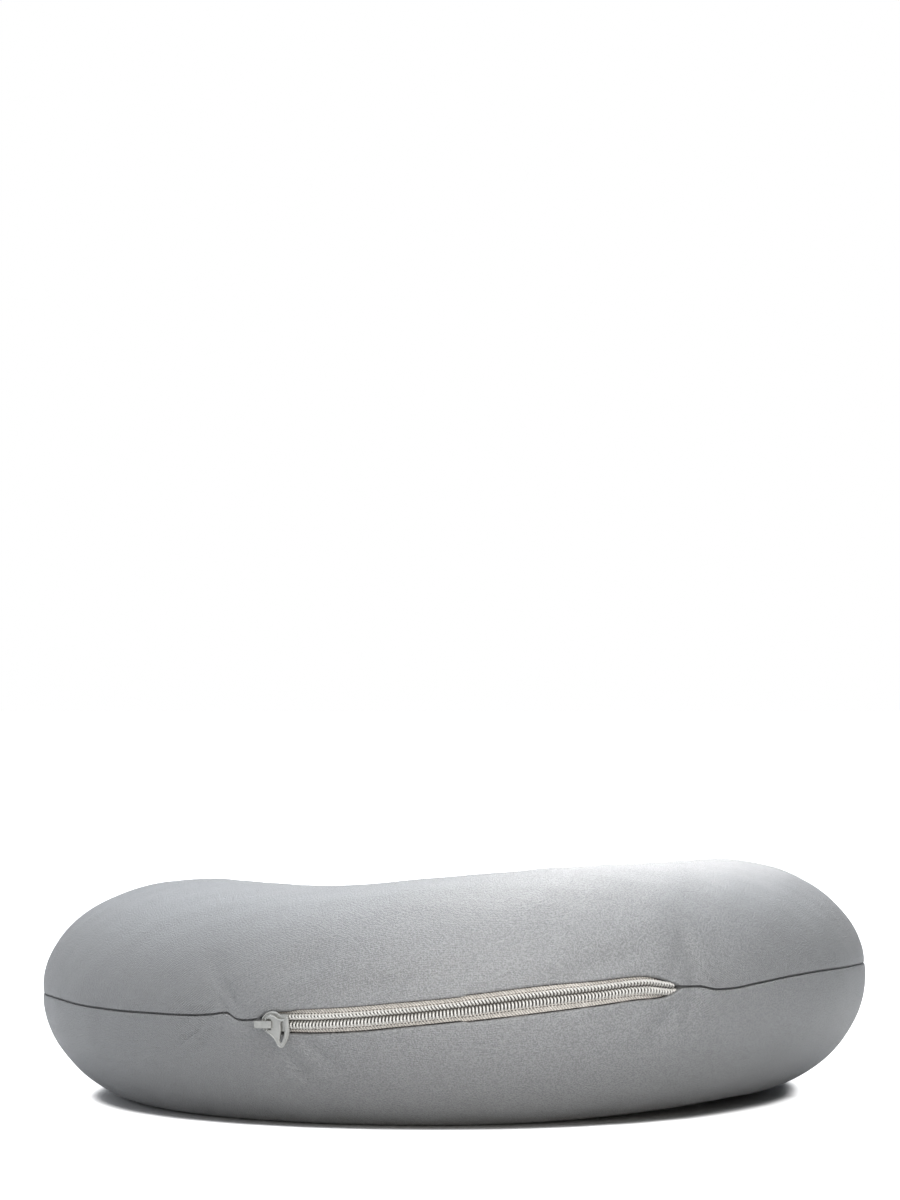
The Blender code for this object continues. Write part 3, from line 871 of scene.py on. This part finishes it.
class Shader:
    """A material's node tree with short ways to add nodes and join them."""

    def __init__(self, name):
        self.material = bpy.data.materials.new(name)
        self.material.use_nodes = True
        self.tree = self.material.node_tree
        self.surface = self.tree.nodes["Principled BSDF"]

    def node(self, kind, **settings):
        made = self.tree.nodes.new("ShaderNode" + kind)
        for key, value in settings.items():
            setattr(made, key, value)
        return made

    def put(self, socket, value):
        """Feeds a socket from another one, or sets it to a plain value."""
        if isinstance(value, bpy.types.NodeSocket):
            self.tree.links.new(value, socket)
        else:
            socket.default_value = value

    def math(self, operation, *values):
        made = self.node("Math", operation=operation)
        for socket, value in zip(made.inputs, values):
            self.put(socket, value)
        return made.outputs[0]

    def uv(self, name):
        """The two coordinates of a UV map, in metres."""
        split = self.node("SeparateXYZ")
        self.put(split.inputs[0], self.node("UVMap", uv_map=name).outputs[0])
        return split.outputs[0], split.outputs[1]

    def noise(self, scale, detail=2.0):
        """Noise in the object's own space, about 0 to 1. Scale is in cells a metre."""
        made = self.node("TexNoise")
        self.put(made.inputs["Vector"], self.node("TexCoord").outputs["Object"])
        made.inputs["Scale"].default_value = scale
        made.inputs["Detail"].default_value = detail
        return made.outputs["Fac"]

    def wave(self, place, pitch):
        """A sine of a coordinate in metres, -1 to 1."""
        return self.math("SINE", self.math("MULTIPLY", place, 2 * math.pi / pitch))

    def mix(self, factor, dark, light):
        """A colour between two, by a factor that is kept within 0 and 1."""
        made = self.node("Mix", data_type="RGBA")
        self.put(made.inputs["Factor"], factor)
        for socket, value in ((made.inputs["A"], dark), (made.inputs["B"], light)):
            self.put(socket, value if isinstance(value, bpy.types.NodeSocket) else (*value, 1))
        return made.outputs["Result"]

    def within(self, place, start, end, soft):
        """1 where a coordinate lies between two values, and 0 outside them, with soft edges."""
        rising = self.node("MapRange", interpolation_type="SMOOTHSTEP")
        falling = self.node("MapRange", interpolation_type="SMOOTHSTEP")
        spans = ((rising, start - soft, start + soft), (falling, end + soft, end - soft))
        for edge, low, high in spans:
            self.put(edge.inputs["Value"], place)
            edge.inputs["From Min"].default_value = low
            edge.inputs["From Max"].default_value = high
        return self.math("MULTIPLY", rising.outputs[0], falling.outputs[0])

    def bump(self, height, distance, under=None):
        """Fine relief of a depth in metres, over another bump if one is given."""
        made = self.node("Bump")
        self.put(made.inputs["Height"], height)
        made.inputs["Distance"].default_value = distance
        made.inputs["Strength"].default_value = 1.0
        if under is not None:
            self.put(made.inputs["Normal"], under)
        return made.outputs[0]

    def finish(self, colour, normal, **values):
        """The material, with its colour and relief joined on and the surface's own sockets set."""
        self.put(self.surface.inputs["Base Color"], colour)
        if normal is not None:
            self.put(self.surface.inputs["Normal"], normal)
        for key, value in values.items():
            self.put(self.surface.inputs[key.replace("_", " ")], value)
        return self.material


def knit_fabric():
    """Smooth stretch knit: fine ribs and loops, a mottled yarn, a soft sheen, tucks along the seam with
    painted highlights on their crests, and a near-black seam line that is thread with painted shade.
    """
    shader = Shader("cover_knit")
    across, along_rib = shader.uv("pattern")[::-1]
    along_seam, above_seam = shader.uv("seam")
    wobble = shader.math("MULTIPLY", shader.math("SUBTRACT", shader.noise(WOBBLE_SCALE), 0.5), RIB_WOBBLE)
    rib_place = shader.math("ADD", across, wobble)
    rib = shader.wave(rib_place, RIB_PITCH)
    loop_place = shader.math("ADD", along_rib, shader.math("MULTIPLY", rib_place, LOOP_SLANT))
    loop = shader.wave(loop_place, LOOP_PITCH)
    knit = shader.math("MULTIPLY_ADD", rib, RIB_SHARE, shader.math("MULTIPLY", loop, LOOP_SHARE))
    fibre = shader.noise(FIBRE_SCALE, 3.0)
    cloudy = shader.noise(CLOUD_SCALE, 3.0)
    mottle = shader.math("SUBTRACT", shader.noise(MOTTLE_SCALE, 1.0), 0.5)
    on_back = shader.within(along_seam, *BACK_SPAN)
    on_right = shader.within(along_seam, *RIGHT_SPAN)
    coarse = shader.math("MULTIPLY_ADD", on_back, GRAIN_ON_BACK, GRAIN_EVERYWHERE)
    coarse = shader.math("MULTIPLY_ADD", on_right, GRAIN_ON_RIGHT, coarse)
    grain = shader.math("MULTIPLY", mottle, coarse)

    # Drawn tight round the zip's ends, the ribs show as a twill that slants away from the seam
    slanted = shader.math(
        "ADD",
        shader.math("MULTIPLY", shader.math("ABSOLUTE", along_seam), TWILL_ALONG),
        shader.math("MULTIPLY", shader.math("ABSOLUTE", above_seam), TWILL_UP),
    )
    beside_zip = shader.within(shader.math("ABSOLUTE", along_seam), *BESIDE_ZIP)
    near_seam = shader.within(above_seam, *TWILL_BAND)
    drawn_tight = shader.math("MULTIPLY", beside_zip, near_seam)
    twill = shader.math("MULTIPLY", shader.wave(slanted, TWILL_PITCH), drawn_tight)

    # Small tucks just below the seam: bump relief, with their crests painted lighter as highlights
    tick = shader.math("MAXIMUM", shader.wave(along_seam, TUCK_PITCH), 0.0)
    ticks = shader.math("MULTIPLY", tick, shader.within(above_seam, *TUCK_BAND))
    tuck_and_highlight = shader.math("MULTIPLY", ticks, cloudy)
    # A near-black line along the seam: partly its thread, partly painted shade in the seam's crevice
    twist = shader.wave(shader.math("ADD", along_seam, above_seam), THREAD_TWIST)
    thread_and_shade = shader.within(above_seam, -THREAD_SHADE_HALF, THREAD_SHADE_HALF, THREAD_SHADE_EDGE)

    shade = shader.math("MULTIPLY_ADD", knit, KNIT_SHADE, 0.5)
    shade = shader.math("MULTIPLY_ADD", twill, TWILL_SHADE, shade)
    shade = shader.math("MULTIPLY_ADD", shader.math("SUBTRACT", cloudy, 0.5), CLOUD_SHADE, shade)
    shade = shader.math("ADD", grain, shade)
    shade = shader.math("MULTIPLY_ADD", shader.math("SUBTRACT", fibre, 0.5), FIBRE_SHADE, shade)
    shade = shader.math("MULTIPLY_ADD", tuck_and_highlight, TUCK_HIGHLIGHT, shade)
    colour = shader.mix(shade, COVER_DARK, COVER_LIGHT)
    sewn_and_shaded = shader.math("MULTIPLY", thread_and_shade, shader.math("MULTIPLY_ADD", twist, 0.06, 0.94))
    colour = shader.mix(sewn_and_shaded, colour, SEAM_THREAD_AND_SHADE)
    normal = None
    for relief, depth in (
        (tuck_and_highlight, TUCK_DEPTH),
        (knit, KNIT_DEPTH),
        (twill, TWILL_DEPTH),
        (mottle, MOTTLE_DEPTH),
        (fibre, FIBRE_DEPTH),
    ):
        normal = shader.bump(relief, depth, normal)
    return shader.finish(
        colour,
        normal,
        Roughness=0.40,
        Specular_IOR_Level=0.6,
        Sheen_Weight=0.3,
        Sheen_Roughness=0.3,
    )


def tape_weave(name, look):
    """Woven zip tape: slanted ribs of yarn, with painted shadow under the chain, painted shade in its
    stitch holes and a painted shadow along the cover's sewn edge.
    """
    shader = Shader(name)
    along, across = shader.uv("weave")
    from_edge = shader.uv("edge")[1]
    slanted = shader.math("MULTIPLY_ADD", across, look.slant, along)
    bent = shader.math("MULTIPLY_ADD", shader.noise(400, 1.0), TAPE_YARN_BEND, slanted)
    yarn = shader.wave(bent, TAPE_YARN_PITCH)
    cross = shader.wave(across, TAPE_CROSS_PITCH)
    weave = shader.math("MULTIPLY_ADD", cross, 0.35, yarn)
    mottle = shader.noise(900, 2.0)
    shade = shader.math("MULTIPLY_ADD", weave, 0.34, mottle)
    colour = shader.mix(shade, TAPE_DARK, TAPE_LIGHT)
    # Painted shadow on the tape under the chain and in the trench between its rows
    colour = shader.mix(shader.within(across, -MM, UNDER_CHAIN, 0.15 * MM), colour, PAINTED_CHAIN_SHADOW)
    # A dotted dark row beside the chain: painted shade in the stitch holes
    row = shader.within(across, STITCH_ROW - STITCH_HALF, STITCH_ROW + STITCH_HALF, 0.08 * MM)
    stitch_shade = shader.math("MULTIPLY_ADD", shader.wave(along, COIL_PITCH), 0.6, 0.35)
    colour = shader.mix(shader.math("MULTIPLY", row, stitch_shade), colour, PAINTED_STITCH_SHADE)
    # Painted shadow along the tape where the cover's sewn edge overhangs it, broken into dashes
    edge = shader.within(from_edge, -MM, look.edge_width, 0.1 * MM)
    gaps = look.edge_gaps
    dashes = shader.math("MULTIPLY_ADD", shader.noise(260, 2.0), -gaps, 1.0 + gaps / 2)
    colour = shader.mix(shader.math("MULTIPLY", edge, dashes), colour, PAINTED_EDGE_SHADOW)
    normal = shader.bump(weave, TAPE_DEPTH)
    return shader.finish(colour, normal, Roughness=0.75, Sheen_Weight=0.2)


def coil_nylon():
    """Pale nylon monofilament, a little glossy, with faint unevenness."""
    shader = Shader("coil_nylon")
    streak = shader.noise(1500, 2.0)
    colour = shader.mix(streak, COIL_DARK, COIL_LIGHT)
    roughness = shader.math("MULTIPLY_ADD", streak, 0.2, 0.2)
    normal = shader.bump(streak, COIL_DEPTH)
    return shader.finish(colour, normal, Roughness=roughness, Specular_IOR_Level=0.6)


def slider_lacquer():
    """Satin silver lacquer on a cast slider, with fine grain and small rubbed patches."""
    shader = Shader("slider_lacquer")
    grain = shader.noise(2500, 3.0)
    rubbed = shader.noise(500, 2.0)
    colour = shader.mix(rubbed, METAL_DARK, METAL_LIGHT)
    roughness = shader.math("MULTIPLY_ADD", rubbed, 0.12, 0.16)
    normal = shader.bump(grain, METAL_DEPTH)
    return shader.finish(colour, normal, Roughness=roughness, Metallic=0.3, Specular_IOR_Level=0.9)


def white_floor():
    """A plain pale floor, overexposed in the picture except close round the pillow."""
    shader = Shader("floor_white")
    open_sky = shader.node("AmbientOcclusion", samples=12)
    open_sky.inputs["Distance"].default_value = FLOOR_SHADE_REACH
    lift = shader.node("MapRange", interpolation_type="SMOOTHSTEP")
    shader.put(lift.inputs["Value"], open_sky.outputs["AO"])

    # The lift to white fades where something stands close above, so the contact shadow stays dark
    lift.inputs["From Min"].default_value, lift.inputs["From Max"].default_value = FLOOR_SHADE_RANGE
    lift.inputs["To Max"].default_value = FLOOR_LIFT
    seen = shader.node("LightPath").outputs["Is Camera Ray"]
    shader.surface.inputs["Emission Color"].default_value = (1.0, 1.0, 1.0, 1.0)
    shader.put(shader.surface.inputs["Emission Strength"], shader.math("MULTIPLY", lift.outputs[0], seen))
    material = shader.finish(FLOOR_COLOUR, None, Roughness=0.9, Specular_IOR_Level=0.0)
    bpy.ops.mesh.primitive_plane_add(size=FLOOR_SIZE)
    floor = bpy.context.object
    floor.name = "floor"
    floor.data.materials.append(material)


def photo_camera():
    """The photograph's view: almost level, the lens shifted so that the pillow stands low in it."""
    camera = bpy.data.objects.new("photo_camera", bpy.data.cameras.new("photo_camera"))
    camera.data.sensor_width = SENSOR
    camera.data.lens = FOCAL_PIXELS / PHOTO_HEIGHT * SENSOR
    camera.data.shift_x = (PHOTO_WIDTH / 2 - AIM_PIXEL[0]) / PHOTO_HEIGHT
    camera.data.shift_y = (AIM_PIXEL[1] - PHOTO_HEIGHT / 2) / PHOTO_HEIGHT
    camera.data.clip_start = 0.05
    away = Vector((0, -math.cos(CAMERA_ELEVATION), math.sin(CAMERA_ELEVATION)))
    camera.location = Vector((0, BACK_ARC_CENTRE_Y, AIM_HEIGHT)) + away * CAMERA_DISTANCE
    camera.rotation_euler = (-away).to_track_quat("-Z", "Y").to_euler()
    bpy.context.scene.camera = link(camera)


def lamp(name, kind, toward, watts, colour):
    """A light that shines from a direction, given as a vector towards it."""
    data = bpy.data.lights.new(name, kind)
    data.energy = watts
    data.color = colour
    made = link(bpy.data.objects.new(name, data))
    made.rotation_euler = Vector(toward).to_track_quat("Z", "Y").to_euler()
    return made


def studio():
    """White surroundings, broad soft light from behind and above, and soft boxes round the back."""
    world = bpy.data.worlds.new("studio")
    world.use_nodes = True
    tree = world.node_tree
    room = tree.nodes["Background"]
    room.inputs["Color"].default_value = (1.0, 1.0, 1.0, 1.0)
    room.inputs["Strength"].default_value = ROOM_LIGHT
    backdrop = tree.nodes.new("ShaderNodeBackground")
    backdrop.inputs["Color"].default_value = (1.0, 1.0, 1.0, 1.0)
    seen = tree.nodes.new("ShaderNodeMixShader")
    tree.links.new(tree.nodes.new("ShaderNodeLightPath").outputs["Is Camera Ray"], seen.inputs[0])
    tree.links.new(room.outputs[0], seen.inputs[1])
    tree.links.new(backdrop.outputs[0], seen.inputs[2])
    tree.links.new(seen.outputs[0], tree.nodes["World Output"].inputs["Surface"])
    bpy.context.scene.world = world
    bpy.context.scene.view_settings.view_transform = "Standard"
    for light in BROAD_LIGHTS:
        made = lamp(light.name, "SUN", light.toward, light.strength, light.colour)
        made.data.angle = math.radians(light.spread)
    for box in SOFT_BOXES:
        made = lamp(box.name, "AREA", Vector(box.place) - Vector(BOX_AIM), box.watts, box.colour)
        made.data.size = box.size
        made.location = box.place


photo_camera()
studio()
white_floor()

cover = pillow_cover()
tapes = [zip_tape("zip_tape_upper_cloth", 1), zip_tape("zip_tape_lower_cloth", -1)]
coils = [
    zip_coil("zip_coil_upper_wire", 1, UPPER_COIL_OUTER, UPPER_LEAN, 0.0),
    zip_coil("zip_coil_lower_wire", -1, LOWER_COIL_OUTER, LOWER_LEAN, 0.5 + (UPPER_LEAN - LOWER_LEAN) / 2),
]
axes = slider_frame()
slider = slider_body(axes)
tab = pull_tab(axes)
for piece, material, slot in (
    (cover, knit_fabric(), "cover_fabric"),
    (tapes[0], tape_weave("tape_upper_weave", UPPER_TAPE), "zip_tape"),
    (tapes[1], tape_weave("tape_lower_weave", LOWER_TAPE), "zip_tape"),
    (coils[0], coil_nylon(), "zip_coil"),
    (coils[1], coil_nylon(), "zip_coil"),
    (slider, slider_lacquer(), "slider_metal"),
    (tab, slider_lacquer(), "slider_metal"),
):
    piece.data.materials.append(material)
for piece in (cover, *tapes, *coils, slider, tab):
    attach(piece, "root")
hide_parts("pillow")
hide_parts("zip_tape_upper")
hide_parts("zip_tape_lower")
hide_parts("zip_coil_upper")
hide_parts("zip_coil_lower")
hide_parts("zip_slider")
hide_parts("zip_pull")
